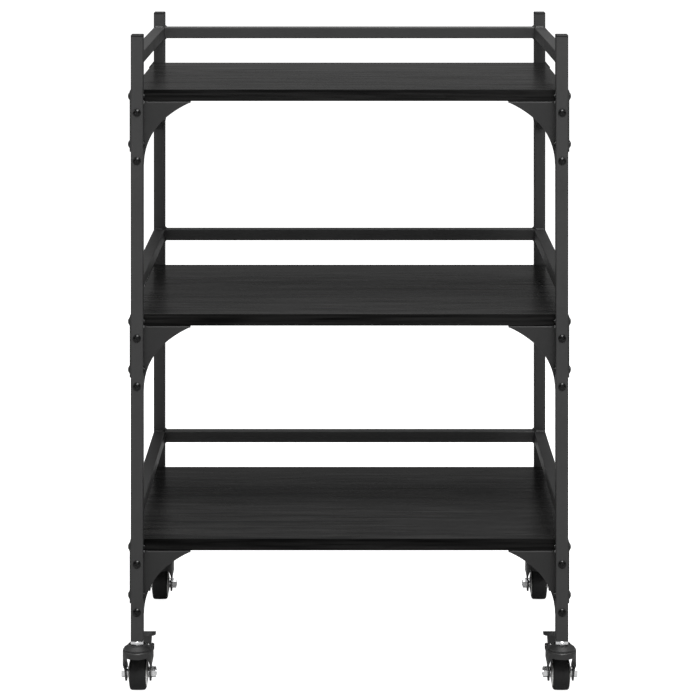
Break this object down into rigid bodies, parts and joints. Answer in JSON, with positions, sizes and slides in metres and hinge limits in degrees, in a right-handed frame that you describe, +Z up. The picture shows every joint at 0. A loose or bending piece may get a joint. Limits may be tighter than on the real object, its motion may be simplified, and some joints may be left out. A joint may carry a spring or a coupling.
{
  "type": "bar cart on wheels",
  "caption": "Tall narrow serving cart: black square-tube posts, dark wood-grain boards with gallery rails on the back and sides, curved corner gussets and swivel castors with brakes.",
  "frame": {"origin": "on the floor, at the middle of the cart's overall footprint with its castors trailing to the back", "axes": "+X to the right as seen from the open front, +Y from front to back, +Z up"},
  "size_m": [0.6296, 0.447, 0.907],
  "materials": {
    "tube_powder_coat": "fine-textured satin black powder coat",
    "sheet_powder_coat": "fine-textured satin black powder coat on bent sheet",
    "black_oak": "black oak grain, matt, open pores along the length",
    "black_plastic": "moulded, fine matt texture",
    "black_bolt": "black oxide, semi-gloss",
    "castor_black": "black coated pressed steel, semi-matt",
    "zinc": "bright zinc plate",
    "white_nylon": "moulded white nylon, satin",
    "tyre_rubber": "matt black rubber"
  },
  "bodies": {
    "frame": {"post_front_left": "tube_powder_coat", "post_front_right": "tube_powder_coat", "post_rear_left": "tube_powder_coat", "post_rear_right": "tube_powder_coat", "post_caps": "black_plastic", "top_board": "black_oak", "middle_board": "black_oak", "bottom_board": "black_oak", "top_back_rail": "tube_powder_coat", "top_left_rail": "tube_powder_coat", "top_right_rail": "tube_powder_coat", "middle_back_rail": "tube_powder_coat", "middle_left_rail": "tube_powder_coat", "middle_right_rail": "tube_powder_coat", "bottom_back_rail": "tube_powder_coat", "bottom_left_rail": "tube_powder_coat", "bottom_right_rail": "tube_powder_coat", "top_front_gussets": "sheet_powder_coat", "top_rear_gussets": "sheet_powder_coat", "middle_front_gussets": "sheet_powder_coat", "middle_rear_gussets": "sheet_powder_coat", "bottom_front_gussets": "sheet_powder_coat", "bottom_rear_gussets": "sheet_powder_coat", "top_left_side_plates": "sheet_powder_coat", "top_right_side_plates": "sheet_powder_coat", "middle_left_side_plates": "sheet_powder_coat", "middle_right_side_plates": "sheet_powder_coat", "bottom_left_side_plates": "sheet_powder_coat", "bottom_right_side_plates": "sheet_powder_coat", "face_bolts": "black_bolt", "face_nuts": "black_bolt", "side_bolts": "black_bolt", "side_nuts": "black_bolt", "board_screws": "black_bolt", "stem_plugs": "black_plastic", "castor_stems": "zinc", "stem_nuts": "zinc", "race_cups": "castor_black", "race_balls": "zinc"},
    "front_left_castor": {"front_left_fork": "castor_black", "front_left_axle": "zinc", "front_left_pedal_pin": "black_bolt"},
    "front_left_wheel": {"front_left_hub": "white_nylon", "front_left_tyre": "tyre_rubber"},
    "front_left_pedal": {"front_left_pedal": "castor_black"},
    "front_right_castor": {"front_right_fork": "castor_black", "front_right_axle": "zinc", "front_right_pedal_pin": "black_bolt"},
    "front_right_wheel": {"front_right_hub": "white_nylon", "front_right_tyre": "tyre_rubber"},
    "front_right_pedal": {"front_right_pedal": "castor_black"},
    "rear_left_castor": {"rear_left_fork": "castor_black", "rear_left_axle": "zinc"},
    "rear_left_wheel": {"rear_left_hub": "white_nylon", "rear_left_tyre": "tyre_rubber"},
    "rear_right_castor": {"rear_right_fork": "castor_black", "rear_right_axle": "zinc"},
    "rear_right_wheel": {"rear_right_hub": "white_nylon", "rear_right_tyre": "tyre_rubber"}
  },
  "joints": [
    {"name": "front_left_swivel", "type": "hinge", "parent": "frame", "child": "front_left_castor", "pos_m": [-0.2915, -0.20345, 0.0625], "axis": [0, 0, 1], "continuous": true},
    {"name": "front_left_roll", "type": "hinge", "parent": "front_left_castor", "child": "front_left_wheel", "pos_m": [-0.2915, -0.18345, 0.024], "axis": [1, 0, 0], "continuous": true},
    {"name": "front_left_brake", "type": "hinge", "parent": "front_left_castor", "child": "front_left_pedal", "pos_m": [-0.2915, -0.17945, 0.0575], "axis": [-1, 0, 0], "range_deg": [0, 14]},
    {"name": "front_right_swivel", "type": "hinge", "parent": "frame", "child": "front_right_castor", "pos_m": [0.2915, -0.20345, 0.0625], "axis": [0, 0, 1], "continuous": true},
    {"name": "front_right_roll", "type": "hinge", "parent": "front_right_castor", "child": "front_right_wheel", "pos_m": [0.2915, -0.18345, 0.024], "axis": [1, 0, 0], "continuous": true},
    {"name": "front_right_brake", "type": "hinge", "parent": "front_right_castor", "child": "front_right_pedal", "pos_m": [0.2915, -0.17945, 0.0575], "axis": [-1, 0, 0], "range_deg": [0, 14]},
    {"name": "rear_left_swivel", "type": "hinge", "parent": "frame", "child": "rear_left_castor", "pos_m": [-0.2915, 0.17955, 0.0625], "axis": [0, 0, 1], "continuous": true},
    {"name": "rear_left_roll", "type": "hinge", "parent": "rear_left_castor", "child": "rear_left_wheel", "pos_m": [-0.2915, 0.19955, 0.024], "axis": [1, 0, 0], "continuous": true},
    {"name": "rear_right_swivel", "type": "hinge", "parent": "frame", "child": "rear_right_castor", "pos_m": [0.2915, 0.17955, 0.0625], "axis": [0, 0, 1], "continuous": true},
    {"name": "rear_right_roll", "type": "hinge", "parent": "rear_right_castor", "child": "rear_right_wheel", "pos_m": [0.2915, 0.19955, 0.024], "axis": [1, 0, 0], "continuous": true}
  ]
}
